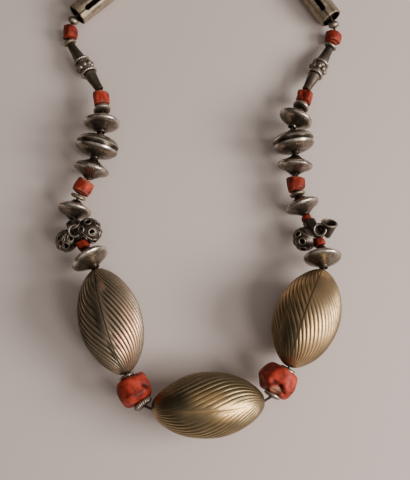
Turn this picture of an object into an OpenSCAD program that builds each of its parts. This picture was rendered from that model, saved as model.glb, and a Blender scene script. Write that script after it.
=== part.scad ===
// A folk necklace of worked silver beads and red coral, threaded as one closed loop and lying flat.
// +Z is up and the surface it lies on is z = 0. The large centre bead lies across the near side,
// and the back of the neck is on the far side, towards +Y. Millimetres and degrees.

/* [Centre bead] */
// Length of the fluted bead at the middle of the necklace
centre_length = 33.6; // [30:0.2:38]
// Greatest diameter of the centre bead
centre_d = 19.7; // [18:0.1:22]
// Heading of the centre bead's hole, from its left end to its right end
centre_heading = 4; // [-6:1:10]

/* [Fluted beads] */
// Number of flutes round each large bead
flutes = 38; // [30:2:46]
// Depth of a flute at the widest part of the bead
flute_depth = 0.45; // [0.2:0.05:0.6]
// How far a flute turns round the bead between its two ends
flute_turn = 100; // [60:4:160]
// Number of rings of points along a fluted bead
flute_rings = 19; // [13:2:23]

/* [Thread] */
// Diameter of the thread
thread_d = 0.9; // [0.6:0.1:1.1]
// Diameter of the hole through every bead
bore_d = 1.8; // [1.6:0.1:2]
// Gap between two neighbouring beads where they come nearest
clearance = 0.2; // [0.1:0.05:0.4]
// Distance from the hole at which two neighbours meet on the inside of a bend
contact_r = 1.6; // [1.4:0.1:2.2]
// The same distance beside the centre bead, whose blunt tips turn the string most
tip_contact_r = 2.3; // [2:0.1:2.8]

/* [Turned beads] */
// Radius of the small collar round the hole of a bicone, a lens bead and a spindle
collar_r = 1.45; // [1.3:0.05:1.8]
// Share of a bicone's diameter that its two cones take up along the string
cone_share = 0.52; // [0.4:0.02:0.56]
// Width of the sunken band between the two domes of a lens bead
lens_band = 1.2; // [0.8:0.1:2]
// Diameter of the large grains soldered round a spindle
grain_d = 2.1; // [1.6:0.1:2.4]
// Number of those grains
grains = 8; // [6:1:9]

/* [Openwork beads] */
// Wall of the hollow balls and cups
openwork_wall = 0.65; // [0.5:0.05:0.9]
// Diameter of the tube that the string runs through
hub_d = 4.2; // [3.4:0.2:4.6]
// Diameter of the round holes in the balls
pierced_d = 1.8; // [1.4:0.1:2.2]

/* [Slotted tubes] */
// Length of the long rolled tube at the end of each strand
tube_length = 43; // [38:1:46]
// Outer diameter of the tube
tube_d = 7.8; // [7:0.2:8.6]
// Thickness of the rolled sheet
tube_wall = 0.8; // [0.6:0.1:1.2]
// Width of the open seam along the top
slot_w = 2.4; // [1.6:0.2:3]
// Length of closed tube left at each end of the seam
slot_end = 4; // [3:0.5:6]
// Diameter of the rivet hole beside the seam
rivet_hole_d = 1.1; // [0.8:0.1:1.4]
// Distance of the rivet hole from the tube's near end
rivet_inset = 7.5; // [5:0.5:11]

// Distance of the drilled disc inside each mouth of the tube
disc_inset = 1.6; // [1:0.2:2.4]

/* [Clasp] */
// Diameter of the plain clasp at the back
clasp_d = 5; // [4:0.2:6]

/* [Hidden] */
$fn = 48;

// A drill or cutter runs this far past the faces it cuts through.
overrun = 5;

// Columns of a strand's table. Each row is one bead, from the centre bead to the back of the neck.
// HEADING is the direction of the bead's hole seen from above, with 0 along +X and 90 along +Y.
// HEIGHT is the height of the hole at the bead's far end.
NAME = 0;
KIND = 1;
LENGTH = 2;
WIDTH = 3;
HEADING = 4;
HEIGHT = 5;

RIGHT = [
    ["ring_right_1", "ring", 1.3, 5.4, 61, 9.9],
    ["coral_large_right", "nugget", 7, 11, 56, 10.1],
    ["ring_right_2", "ring", 1, 5, 60, 10.3],
    ["barrel_right", "barrel", 31.5, 20.2, 69, 10.3],
    ["bicone_right_1", "bicone", 7.3, 12, 92, 8.8],
    ["coral_small_right_1", "coral", 2.3, 3.7, 109, 8.2],
    ["openwork_right", "openwork", 6.5, 12.5, 113, 6.9],
    ["coral_small_right_2", "coral", 1.9, 3.4, 111, 6.6],
    ["bicone_right_2", "bicone", 6.5, 11.4, 109, 6.3],
    ["ring_right_3", "ring", 1.2, 5.1, 105, 6.3],
    ["coral_mid_right", "coral", 4.9, 6.4, 97, 6.5],
    ["bicone_right_3", "bicone", 6.5, 11.7, 85, 7.1],
    ["lens_right", "lens", 8, 13.7, 99, 7.7],
    ["bicone_right_4", "bicone", 7.2, 11.5, 67, 7.2],
    ["ring_right_4", "ring", 1.6, 5.6, 63, 6.8],
    ["coral_tube_right", "coral", 5.1, 5.9, 76, 6],
    ["spindle_right", "spindle", 18.7, 6.6, 62, 3.2],
    ["ring_right_5", "ring", 1.3, 4.4, 62, 3.2],
    ["coral_top_right", "coral", 4.5, 5.6, 77, 3.4],
    ["ball_right", "ball", 2.4, 3.8, 107, 4.3],
    ["tube_right", "tube", tube_length, tube_d, 123, 4.35],
    ["ring_right_6", "ring", 1.3, 4.4, 142, 4.2],
    ["coral_back_right", "coral", 5.2, 5.4, 162, 3.3],
    ["ring_right_7", "ring", 1.4, 4.4, 179, 3.1],
];

LEFT = [
    ["ring_left_1", "ring", 1.8, 6.2, 129, 9.8],
    ["coral_large_left", "nugget", 7.3, 10.6, 122, 9.8],
    ["ring_left_2", "ring", 1, 5, 116, 9.85],
    ["barrel_left", "barrel", 33.5, 19.4, 107, 9.85],
    ["bicone_left_1", "bicone", 7.5, 12.4, 121, 8.8],
    ["coral_small_left", "coral", 2.4, 3.9, 116, 8.2],
    ["openwork_left", "openwork", 7.5, 12.5, 116, 6.7],
    ["bicone_left_2", "bicone", 6.4, 11.3, 79, 6.2],
    ["ring_left_3", "ring", 1.3, 5.1, 66, 6.3],
    ["coral_mid_left", "coral", 5, 6.5, 62, 6.5],
    ["bicone_left_3", "bicone", 6.8, 12.1, 75, 7.1],
    ["lens_left", "lens", 8.4, 13.9, 77, 7.8],
    ["bicone_left_4", "bicone", 7, 12.1, 88, 7.2],
    ["ring_left_4", "ring", 1.6, 5.8, 105, 6.8],
    ["coral_tube_left", "coral", 5.8, 5.4, 96, 6],
    ["spindle_left", "spindle", 20.6, 6.6, 121, 3.2],
    ["ring_left_5", "ring", 1.3, 4.5, 112, 3.2],
    ["coral_top_left", "coral", 4.5, 5.6, 85, 3.4],
    ["ball_left", "ball", 2.5, 3.8, 58, 4.3],
    ["tube_left", "tube", tube_length, tube_d, 43, 4.35],
    ["ring_left_6", "ring", 1.3, 4.4, 33, 4.2],
    ["coral_back_left", "coral", 5.1, 5.5, 25, 3.3],
    ["ring_left_7", "ring", 1.4, 4.4, 19, 3.1],
];

// Lobes soldered to the hub of an openwork bead. Columns: shape, place of a ball's centre or a cup's
// mouth from the middle of the hub as [right of the string, up, along it], the direction round the
// string that its hole faces with 0 to the right and 90 up, that direction's lean along the string,
// and diameter. Both beads are seen with the string running away from the eye.
OPENWORK_LEFT = [
    ["ball", [3.7, 0.3, -1.7], 77, -38, 8],
    ["ball", [-3.95, -1, -1], 113, 8, 7],
    ["cup", [-0.4, 2.8, -0.9], 92, -25, 4.2],
    ["cup", [0.4, 2.4, 1.4], 100, 32, 4.2],
    ["plain", [0, -3, 0], 270, 0, 5],
];
OPENWORK_RIGHT = [
    ["cup", [5, 2.6, -1], 62, 28, 5.2],
    ["cup", [1.3, 2.6, -1.8], 103, -20, 4.2],
    ["ball", [-3.5, -0.8, -1.4], 175, 0, 7.4],
    ["plain", [0, -3, 0], 270, 0, 5],
];

function unit(v) = v / norm(v);
function lerp(a, b, t) = a + (b - a) * t;

// The start point and the direction of every bead's hole. A bend opens the gap on the hole's line
// just enough for the two beads to stay clear of each other on its inside.
function walk(rows, end, dir, i = 0) =
    i == len(rows) ? [] :
    let (
        row = rows[i],
        rise = row[HEIGHT] - end.z,
        run = sqrt(row[LENGTH] * row[LENGTH] - rise * rise),
        axis = [run * cos(row[HEADING]), run * sin(row[HEADING]), rise] / row[LENGTH],
        bend = acos(min(1, axis * dir)),
        gap = clearance + 2 * (i == 0 ? tip_contact_r : contact_r) * sin(bend / 2),
        start = end + gap * unit(axis + dir)
    )
    concat([[start, axis]], walk(rows, start + row[LENGTH] * axis, axis, i + 1));

centre_axis = [cos(centre_heading), sin(centre_heading), 0];
centre_start = [0, 0, centre_d / 2] - centre_axis * centre_length / 2;
centre_end = centre_start + centre_axis * centre_length;

right_places = walk(RIGHT, centre_end, centre_axis);
left_places = walk(LEFT, centre_start, -centre_axis);

function far_end(places, rows, i) = places[i][0] + rows[i][LENGTH] * places[i][1];

// The clasp spans the stretch that is left between the two strands at the back of the neck.
right_last = far_end(right_places, RIGHT, len(RIGHT) - 1);
left_last = far_end(left_places, LEFT, len(LEFT) - 1);
clasp_axis = unit(right_last - left_last);
clasp_gap = clearance + 0.5;
clasp_length = norm(right_last - left_last) - 2 * clasp_gap;
clasp_start = left_last + clasp_gap * clasp_axis;

// The thread bends where it leaves one hole and where it enters the next, all the way round the loop.
function hole_ends(rows, places) = [
    for (i = [0:len(rows) - 1]) each [places[i][0], far_end(places, rows, i)]
];
function reversed(list) = [for (i = [len(list) - 1:-1:0]) list[i]];
thread_points = concat(
    [centre_start, centre_end],
    hole_ends(RIGHT, right_places),
    [clasp_start + clasp_axis * clasp_length, clasp_start],
    reversed(hole_ends(LEFT, left_places))
);

// The loop is centred on the origin of its bounding box.
loop_middle = [-2.083, 81.492, 0];

silver = "#a9a294";
gilt_silver = "#a89468";
dark_silver = "#6f6a60";
coral_red = "#c4482f";
thread_dark = "#4a2f24";

// Puts a bead that is drawn along +Z from 0 into its place. Its +X is then up and its +Y is on the
// right of the string.
module seat(start, axis) {
    translate(start - loop_middle)
        rotate([0, 90 - asin(axis.z), atan2(axis.y, axis.x)])
            rotate([0, 0, 180])
                children();
}

module drilled(length) {
    difference() {
        children();
        translate([0, 0, -overrun]) cylinder(h = length + 2 * overrun, d = bore_d);
    }
}

// A turned body whose outline is a list of [share of the length, share of the radius].
module turned(outline, length, d) {
    rotate_extrude($fn = 64)
        polygon(concat(
            [[0, 0]],
            [for (p = outline) [p[1] * d / 2, p[0] * length]],
            [[0, length]]
        ));
}

// The second half of an outline is the mirror image of the first.
function mirrored(half) = concat(half, [for (p = reversed(half)) [1 - p[0], p[1]]]);

// Share of a fluted bead's greatest radius at u, which runs from -1 at one tip to 1 at the other.
tip_share = 0.16;
swell = 2.1;
bluntness = 0.76;
function barrel_radius(u) = tip_share + (1 - tip_share) * pow(1 - pow(abs(u), swell), bluntness);

// The rings of points stand closer together towards the tips, where the bead narrows fast.
crowding = 0.35;
function ring_place(i) = let (s = 2 * i / (flute_rings - 1) - 1) s * (1 + crowding - crowding * abs(s));

// A sheet bead with flutes that turn round it. Every second column of points lies in a flute.
module fluted_barrel(length, d) {
    columns = 2 * flutes;
    points = [
        for (i = [0:flute_rings - 1])
            for (c = [0:columns - 1])
                let (
                    u = ring_place(i),
                    share = barrel_radius(u),
                    cut = c % 2 == 0 ? 0 : flute_depth * share * (1 - abs(u)),
                    r = share * d / 2 - cut,
                    around = 360 * c / columns - flute_turn / 2 * u
                )
                [r * cos(around), r * sin(around), (u + 1) * length / 2]
    ];
    sides = [
        for (i = [0:flute_rings - 2])
            for (c = [0:columns - 1])
                let (a = i * columns + c, b = i * columns + (c + 1) % columns)
                each [[a, a + columns, b], [b, a + columns, b + columns]]
    ];
    first_cap = [for (c = [0:columns - 1]) c];
    last_cap = [for (c = [columns - 1:-1:0]) (flute_rings - 1) * columns + c];
    drilled(length) polyhedron(points, concat(sides, [first_cap], [last_cap]), convexity = 4);
}

// Two cones that curve in a little and meet at a thin rim.
module bicone(length, d) {
    collar = collar_r / (d / 2);
    start = (length - cone_share * d) / 2 / length;
    drilled(length)
        turned(mirrored([
            [0, collar],
            [start, collar],
            [lerp(start, 0.5, 0.5), lerp(collar, 1, 0.47)],
            [0.465, 0.94],
            [0.485, 1],
        ]), length, d);
}

// Two domes whose edges stand a little above the band between them.
module lens(length, d) {
    collar = collar_r / (d / 2);
    dome_start = 0.08;
    dome_end = 0.5 - lens_band / length / 2;
    band_share = 0.94;
    dome = [
        for (a = [0:15:90])
            [lerp(dome_start, dome_end, 1 - cos(a)), lerp(collar, 1, sin(a))]
    ];
    drilled(length)
        turned(mirrored(concat([[0, collar]], dome, [[dome_end, band_share]])), length, d);
}

// Slim trumpet ends that widen to a middle drum with two ribs and a ring of large grains.
module spindle(length, d) {
    collar = collar_r / (d / 2);
    drum = (d - grain_d * 0.6) / d;
    drilled(length) {
        turned(mirrored([
            [0, collar],
            [0.04, collar],
            [0.14, collar * 1.1],
            [0.25, 0.58],
            [0.34, drum],
            [0.36, 0.98],
            [0.385, 0.98],
            [0.4, drum],
        ]), length, d);
        for (i = [0:grains - 1])
            rotate([0, 0, 360 * i / grains])
                translate([d / 2 - grain_d / 2, 0, length / 2])
                    sphere(d = grain_d, $fn = 32);
    }
}

// A ring with a half-round edge.
module ring(length, d) {
    outline = [for (a = [-90:22.5:90]) [0.5 + 0.5 * sin(a), 1 - length / d * (1 - cos(a))]];
    drilled(length) turned(outline, length, d);
}

// A ball cut flat where its hole comes out.
module ball(length, d) {
    flat = 75;
    outline = [for (a = [-flat:flat / 3:flat]) [0.5 + 0.5 * sin(a) / sin(flat), cos(a)]];
    drilled(length) turned(outline, length, d);
}

module small_coral(length, d) {
    drilled(length)
        turned([
            [0, 0.62],
            [0.06, 0.84],
            [0.2, 0.97],
            [0.5, 1],
            [0.8, 0.96],
            [0.94, 0.84],
            [1, 0.6],
        ], length, d);
}

// How far the hole of each large coral lump is off its middle. The lump stands out to the left of
// the string.
offset_right = 1.4;
offset_left = 0.3;

// A rounded lump of coral with a few worn flats, which are the faces of three tilted blocks.
module coral_nugget(length, d, turn, offset) {
    outline = [[0, 0.6], [0.12, 0.88], [0.35, 1], [0.65, 1], [0.88, 0.88], [1, 0.58]];
    drilled(length) translate([0, -offset, 0])
        intersection() {
            turned(outline, length, d * 1.08);
            translate([0, 0, length / 2]) sphere(d = d * 1.14, $fn = 64);
            worn_flats(length, [0, 0, turn], [d * 0.96, d * 0.92, length * 1.5]);
            worn_flats(length, [35, 0, turn + 40], [d * 0.98, d * 1.2, d * 0.94]);
            worn_flats(length, [0, 40, turn + 15], [d * 0.94, d * 1.2, d * 1.2]);
        }
}

module worn_flats(length, angles, size) {
    translate([0, 0, length / 2])
        rotate(angles)
            cube(size, center = true);
}

// Hub tube with hollow pierced balls and open cups soldered round it.
module openwork(length, lobes) {
    drilled(length) {
        difference() {
            for (lobe = lobes) lobe_at(lobe, length) lobe_outside(lobe);
            for (lobe = lobes) lobe_at(lobe, length) lobe_inside(lobe);
            for (z = [hub_end - overrun, length - hub_end])
                translate([0, 0, z]) cylinder(h = overrun, r = neighbour_room);
        }
        cylinder(h = length, d = hub_d);
    }
}

// The lobes keep this far from the string near the ends of the hub, where the next beads lie.
neighbour_room = 2.5;
hub_end = 0.2;

// Angle between a ball's end hole and the six holes round it.
pierced_lean = 55;

// A cup is this many times as deep as it is wide, and its foot this share of its mouth.
cup_depth = 0.9;
cup_foot = 0.5;

// Puts a lobe in its place and turns +Z to the direction that its hole faces.
module lobe_at(lobe, length) {
    place = lobe[1];
    translate([place[1], place[0], length / 2 + place[2]])
        rotate([0, 0, 90 - lobe[2]])
            rotate([0, 90 - lobe[3], 0])
                children();
}

module lobe_outside(lobe) {
    d = lobe[4];
    if (lobe[0] != "cup")
        sphere(d = d);
    else
        translate([0, 0, -cup_depth * d]) cylinder(h = cup_depth * d, d1 = cup_foot * d, d2 = d);
}

module lobe_inside(lobe) {
    hollow_d = lobe[4] - 2 * openwork_wall;
    hole_end = lobe[4] / 2 + openwork_wall;
    if (lobe[0] == "ball") {
        sphere(d = hollow_d);
        cylinder(h = hole_end, d = pierced_d);
        for (a = [0:60:300])
            rotate([0, pierced_lean, a]) cylinder(h = hole_end, d = pierced_d);
    }
    if (lobe[0] == "cup") {
        translate([0, 0, openwork_wall - cup_depth * lobe[4]])
            cylinder(h = cup_depth * lobe[4], d1 = cup_foot * hollow_d, d2 = hollow_d);
    }
}

// Sheet rolled to a tube whose seam stays open, with a drilled disc inside each mouth. The seam is
// turned from the top of the tube, and the rivet hole is beside it.
module slotted_tube(length, d, seam_turn, rivet_turn) {
    inner_d = d - 2 * tube_wall;
    disc_end = disc_inset + tube_wall;
    drilled(length)
        difference() {
            cylinder(h = length, d = d, $fn = 64);
            translate([0, 0, -overrun]) cylinder(h = overrun + disc_inset, d = inner_d, $fn = 64);
            translate([0, 0, disc_end]) cylinder(h = length - 2 * disc_end, d = inner_d, $fn = 64);
            translate([0, 0, length - disc_inset]) cylinder(h = overrun, d = inner_d, $fn = 64);
            rotate([0, 0, seam_turn]) {
                translate([d / 2, 0, length / 2]) cube([d, slot_w, length - 2 * slot_end], center = true);
                for (z = [slot_end, length - slot_end])
                    translate([0, 0, z]) rotate([0, 90, 0]) cylinder(h = d, d = slot_w);
                translate([0, 0, rivet_inset])
                    rotate([0, 90, rivet_turn]) cylinder(h = d, d = rivet_hole_d);
            }
        }
}

// Angle of the open seam of each tube from its top, and of the rivet hole from the seam. Positive
// is to the right of the string.
seam_turn_right = -26;
seam_turn_left = 30;
rivet_side = 38;

// One bead of a strand. The side is 1 on the right strand and -1 on the left one.
module bead(row, place, side) {
    kind = row[KIND];
    length = row[LENGTH];
    d = row[WIDTH];
    seat(place[0], place[1]) {
        if (kind == "ring") color(dark_silver) ring(length, d);
        if (kind == "ball") color(silver) ball(length, d);
        if (kind == "coral") color(coral_red) small_coral(length, d);
        if (kind == "nugget")
            color(coral_red) coral_nugget(length, d, row[HEADING], side > 0 ? offset_right : offset_left);
        if (kind == "barrel") color(silver) fluted_barrel(length, d);
        if (kind == "bicone") color(silver) bicone(length, d);
        if (kind == "lens") color(silver) lens(length, d);
        if (kind == "spindle") color(dark_silver) spindle(length, d);
        if (kind == "tube")
            color(silver)
                slotted_tube(length, d, side > 0 ? seam_turn_right : seam_turn_left, side * rivet_side);
        if (kind == "openwork")
            color(dark_silver) openwork(length, side > 0 ? OPENWORK_RIGHT : OPENWORK_LEFT);
    }
}

module barrel_centre() {
    color(gilt_silver)
        seat(centre_start, centre_axis)
            fluted_barrel(centre_length, centre_d);
}

// A plain barrel clasp with rounded ends.
module clasp() {
    color(silver)
        seat(clasp_start, clasp_axis)
            drilled(clasp_length)
                turned(mirrored([[0, 0.6], [0.06, 0.86], [0.14, 1]]), clasp_length, clasp_d);
}

// A closed tube of eight sides through the thread points.
module thread() {
    n = len(thread_points);
    sides = 8;
    points = [
        for (i = [0:n - 1])
            let (
                here = thread_points[i],
                onward = unit(thread_points[(i + 1) % n] - here),
                back = unit(here - thread_points[(i + n - 1) % n]),
                along = unit(onward + back),
                side = unit(cross(along, [0, 0, 1])),
                up = cross(side, along)
            )
            for (k = [0:sides - 1])
                let (turn = 360 * k / sides)
                here - loop_middle + thread_d / 2 * (cos(turn) * side + sin(turn) * up)
    ];
    faces = [
        for (i = [0:n - 1])
            for (k = [0:sides - 1])
                let (
                    a = i * sides + k,
                    b = i * sides + (k + 1) % sides,
                    c = ((i + 1) % n) * sides + k,
                    d = ((i + 1) % n) * sides + (k + 1) % sides
                )
                each [[a, b, c], [b, d, c]]
    ];
    color(thread_dark) polyhedron(points, faces, convexity = 10);
}

thread();
barrel_centre();
clasp();
for (i = [0:len(RIGHT) - 1])
    bead(RIGHT[i], right_places[i], 1);
for (i = [0:len(LEFT) - 1])
    bead(LEFT[i], left_places[i], -1);
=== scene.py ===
"""Looks of a folk necklace of worked silver beads and red coral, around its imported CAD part.

The file follows the string: first the thread and the places of the beads on it, then each kind of
bead, and last the table, the light and the camera. Sizes are in millimetres until a shape is put
into its place, which gives metres. Every bead is worked out with +Z along its hole, +X up and +Y to
the right of the string.
"""

import bmesh
import bpy
import numpy as np
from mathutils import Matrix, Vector


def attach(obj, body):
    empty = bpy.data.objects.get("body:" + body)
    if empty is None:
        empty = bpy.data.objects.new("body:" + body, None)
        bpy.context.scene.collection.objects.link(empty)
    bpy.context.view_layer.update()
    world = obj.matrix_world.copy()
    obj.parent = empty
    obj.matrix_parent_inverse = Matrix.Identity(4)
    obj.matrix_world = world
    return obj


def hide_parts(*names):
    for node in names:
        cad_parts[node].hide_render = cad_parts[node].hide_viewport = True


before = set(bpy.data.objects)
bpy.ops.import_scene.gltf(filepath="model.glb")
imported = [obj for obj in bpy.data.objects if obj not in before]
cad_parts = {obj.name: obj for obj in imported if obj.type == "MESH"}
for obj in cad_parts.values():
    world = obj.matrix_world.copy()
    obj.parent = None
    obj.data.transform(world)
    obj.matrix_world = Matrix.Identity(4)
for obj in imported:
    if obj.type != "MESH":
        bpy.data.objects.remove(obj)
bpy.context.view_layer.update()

# Thread
# One waxed cotton thread, twisted from two plies and closed to a loop inside the hidden clasp. It
# runs through every bead, so this section holds the tables of the string and the way along it.

MM = 0.001
# Each row is a bead, from the middle bead outwards: name, length, width, heading of its hole in
# degrees and height of the hole at its far end.
RIGHT = [
    ("ring_right_1", 1.3, 5.4, 61, 9.9),
    ("coral_large_right", 7, 11, 56, 10.1),
    ("ring_right_2", 1, 5, 60, 10.3),
    ("barrel_right", 31.5, 20.2, 69, 10.3),
    ("bicone_right_1", 7.3, 12, 92, 8.8),
    ("coral_small_right_1", 2.3, 3.7, 109, 8.2),
    ("openwork_right", 6.5, 12.5, 113, 6.9),
    ("coral_small_right_2", 1.9, 3.4, 111, 6.6),
    ("bicone_right_2", 6.5, 11.4, 109, 6.3),
    ("ring_right_3", 1.2, 5.1, 105, 6.3),
    ("coral_mid_right", 4.9, 6.4, 97, 6.5),
    ("bicone_right_3", 6.5, 11.7, 85, 7.1),
    ("lens_right", 8, 13.7, 99, 7.7),
    ("bicone_right_4", 7.2, 11.5, 67, 7.2),
    ("ring_right_4", 1.6, 5.6, 63, 6.8),
    ("coral_tube_right", 5.1, 5.9, 76, 6),
    ("spindle_right", 18.7, 6.6, 62, 3.2),
    ("ring_right_5", 1.3, 4.4, 62, 3.2),
    ("coral_top_right", 4.5, 5.6, 77, 3.4),
    ("ball_right", 2.4, 3.8, 107, 4.3),
    ("tube_right", 43, 7.8, 123, 4.35),
    ("ring_right_6", 1.3, 4.4, 142, 4.2),
    ("coral_back_right", 5.2, 5.4, 162, 3.3),
    ("ring_right_7", 1.4, 4.4, 179, 3.1),
]
LEFT = [
    ("ring_left_1", 1.8, 6.2, 129, 9.8),
    ("coral_large_left", 7.3, 10.6, 122, 9.8),
    ("ring_left_2", 1, 5, 116, 9.85),
    ("barrel_left", 33.5, 19.4, 107, 9.85),
    ("bicone_left_1", 7.5, 12.4, 121, 8.8),
    ("coral_small_left", 2.4, 3.9, 116, 8.2),
    ("openwork_left", 7.5, 12.5, 116, 6.7),
    ("bicone_left_2", 6.4, 11.3, 79, 6.2),
    ("ring_left_3", 1.3, 5.1, 66, 6.3),
    ("coral_mid_left", 5, 6.5, 62, 6.5),
    ("bicone_left_3", 6.8, 12.1, 75, 7.1),
    ("lens_left", 8.4, 13.9, 77, 7.8),
    ("bicone_left_4", 7, 12.1, 88, 7.2),
    ("ring_left_4", 1.6, 5.8, 105, 6.8),
    ("coral_tube_left", 5.8, 5.4, 96, 6),
    ("spindle_left", 20.6, 6.6, 121, 3.2),
    ("ring_left_5", 1.3, 4.5, 112, 3.2),
    ("coral_top_left", 4.5, 5.6, 85, 3.4),
    ("ball_left", 2.5, 3.8, 58, 4.3),
    ("tube_left", 43, 7.8, 43, 4.35),
    ("ring_left_6", 1.3, 4.4, 33, 4.2),
    ("coral_back_left", 5.1, 5.5, 25, 3.3),
    ("ring_left_7", 1.4, 4.4, 19, 3.1),
]
CENTRE_LENGTH, CENTRE_WIDTH, CENTRE_HEADING = 33.6, 19.7, 4
# The middle of the whole loop, measured from the point under the middle bead.
LOOP_MIDDLE = np.array([-2.083, 81.492, 0])
# Neighbours stay this far apart, and where the string bends they pivot on rims of these radii.
CLEARANCE = 0.2
CONTACT_R, TIP_CONTACT_R = 1.6, 2.3
CLASP_GAP, CLASP_WIDTH = 0.7, 5
BORE_R, THREAD_R = 0.9, 0.45
# Sides round the thread and length of a step, then the mean radius and the bulge of its two plies,
# as shares of its radius, and their turn per step.
THREAD_SIDES, THREAD_STEP, PLY_R, PLY_BULGE, PLY_TURN = 12, 0.4, 0.93, 0.07, 0.55

places = {}


def unit(v):
    """The direction of v, which is v divided by its length."""
    return np.asarray(v, float) / np.linalg.norm(v)


def settle(name, start, along, length, width):
    """A bead's place: where its hole starts, and its up, right and along directions as rows."""
    right = unit(np.cross(along, [0, 0, 1]))
    up = np.cross(right, along)
    places[name] = (np.array(start), np.array([up, right, along]), length, width)


def walk(rows, end, before):
    """Each bead starts past the last one's end by clearance + 2 r sin(bend / 2), along the mean way."""
    ways = []
    for i, (name, length, width, heading, height) in enumerate(rows):
        rise = height - end[2]
        run = np.sqrt(length**2 - rise**2)
        turn = np.radians(heading)
        along = np.array([run * np.cos(turn), run * np.sin(turn), rise]) / length
        bend = np.arccos(min(1, along @ before))
        gap = CLEARANCE + 2 * (CONTACT_R if i else TIP_CONTACT_R) * np.sin(bend / 2)
        start = end + gap * unit(along + before)
        settle(name, start, along, length, width)
        end, before = start + length * along, along
        ways += [start, end]
    return ways


def circle(count):
    """Equal angles round a hole, as one row of a grid."""
    return (2 * np.pi * np.arange(count) / count)[None, :]


centre_turn = np.radians(CENTRE_HEADING)
centre_along = np.array([np.cos(centre_turn), np.sin(centre_turn), 0])
centre_start = np.array([0, 0, CENTRE_WIDTH / 2]) - centre_along * CENTRE_LENGTH / 2
centre_end = centre_start + centre_along * CENTRE_LENGTH
settle("barrel_centre", centre_start, centre_along, CENTRE_LENGTH, CENTRE_WIDTH)
right_way = walk(RIGHT, centre_end, centre_along)
left_way = walk(LEFT, centre_start, -centre_along)
span = right_way[-1] - left_way[-1]
clasp_length = np.linalg.norm(span) - 2 * CLASP_GAP
settle("clasp", left_way[-1] + CLASP_GAP * unit(span), unit(span), clasp_length, CLASP_WIDTH)
clasp_start = places["clasp"][0]
clasp_end = clasp_start + clasp_length * unit(span)


def linear(text):
    """An sRGB hex colour as linear RGBA."""
    c = np.array([int(text[i:i + 2], 16) for i in (1, 3, 5)]) / 255
    c = np.where(c <= 0.04045, c / 12.92, ((c + 0.055) / 1.055) ** 2.4)
    return (*c.tolist(), 1.0)


def add(tree, kind, inputs=(), out=None, **settings):
    """Adds a shader node, sets it, fills or links its inputs and returns an output, if it has any."""
    node = tree.nodes.new("ShaderNode" + kind)
    for key, value in settings.items():
        setattr(node, key, value)
    for key, value in dict(inputs).items():
        socket = node.inputs[key] if isinstance(key, int) else next(
            s for s in node.inputs if s.enabled and s.name == key)
        if isinstance(value, bpy.types.NodeSocket):
            tree.links.new(value, socket)
        else:
            socket.default_value = value
    return next((s for s in node.outputs if s.enabled and out in (None, s.name)), None)


# The settings of a Mix node that mixes colours.
IN_COLOUR = {"out": "Result", "data_type": "RGBA"}


def new_material(name):
    """A material, its tree to fill and the object's own coordinates as its first node."""
    material = bpy.data.materials.new(name)
    material.use_nodes = True
    material.node_tree.nodes.clear()
    return material, material.node_tree, add(material.node_tree, "TexCoord", out="Object")


def quads(rows, columns, ring):
    """Corner numbers of the quads of a grid whose columns wrap, and whose rows wrap in a ring."""
    i, j = np.meshgrid(np.arange(rows if ring else rows - 1), np.arange(columns), indexing="ij")
    below, beside = (i + 1) % rows, (j + 1) % columns
    return np.stack([i * columns + j, i * columns + beside,
                     below * columns + beside, below * columns + j], -1).reshape(-1, 4)


def new_object(name, data):
    """An object of the scene that shows a mesh, a light or a camera."""
    made = bpy.data.objects.new(name, data)
    bpy.context.scene.collection.objects.link(made)
    return made


SAME_POINT_M = 1e-6


def piece(name, nodes, grids, material, marks=None, ring=True, poles=False, hole=None):
    """A mesh from grids of points in metres, each rows x columns x 3. Marks are values per point.

    Poles are rows that end in one point, which is merged. A hole gives the quads left out of the
    first grid and the quads of its wall, as corner numbers.
    """
    corners, faces, first = [], [], 0
    for grid in grids:
        rows, columns = grid.shape[:2]
        faces.append(quads(rows, columns, ring) + first)
        if hole and not first:
            faces = [np.delete(faces[0], hole[0], axis=0), hole[1]]
        corners.append(grid.reshape(-1, 3))
        first += rows * columns
    mesh = bpy.data.meshes.new(name)
    mesh.from_pydata(np.concatenate(corners).tolist(), [], np.concatenate(faces).tolist())
    for mark, values in (marks or {}).items():
        layer = mesh.attributes.new(mark, "FLOAT", "POINT")
        layer.data.foreach_set("value", np.concatenate([v.reshape(-1) for v in values]))
    if poles:
        merged = bmesh.new()
        merged.from_mesh(mesh)
        bmesh.ops.remove_doubles(merged, verts=merged.verts, dist=SAME_POINT_M)
        merged.to_mesh(mesh)
        merged.free()
    mesh.polygons.foreach_set("use_smooth", np.ones(len(mesh.polygons), bool))
    mesh.materials.append(material)
    made = new_object(name, mesh)
    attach(made, "root")
    if nodes:
        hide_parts(*nodes)


def tube_along(path, radii):
    """Rings square to a closed path, each with its own row of radii: p + r (cos a side - sin a up)."""
    onward = np.roll(path, -1, 0) - path
    onward /= np.linalg.norm(onward, axis=1, keepdims=True)
    way = onward + np.roll(onward, 1, 0)
    way /= np.linalg.norm(way, axis=1, keepdims=True)
    side = np.cross(way, [0, 0, 1])
    side /= np.linalg.norm(side, axis=1, keepdims=True)
    up = np.cross(side, way)
    a = circle(radii.shape[1])
    return path[:, None] + (radii * np.cos(a))[..., None] * side[:, None] \
        - (radii * np.sin(a))[..., None] * up[:, None]


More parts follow.
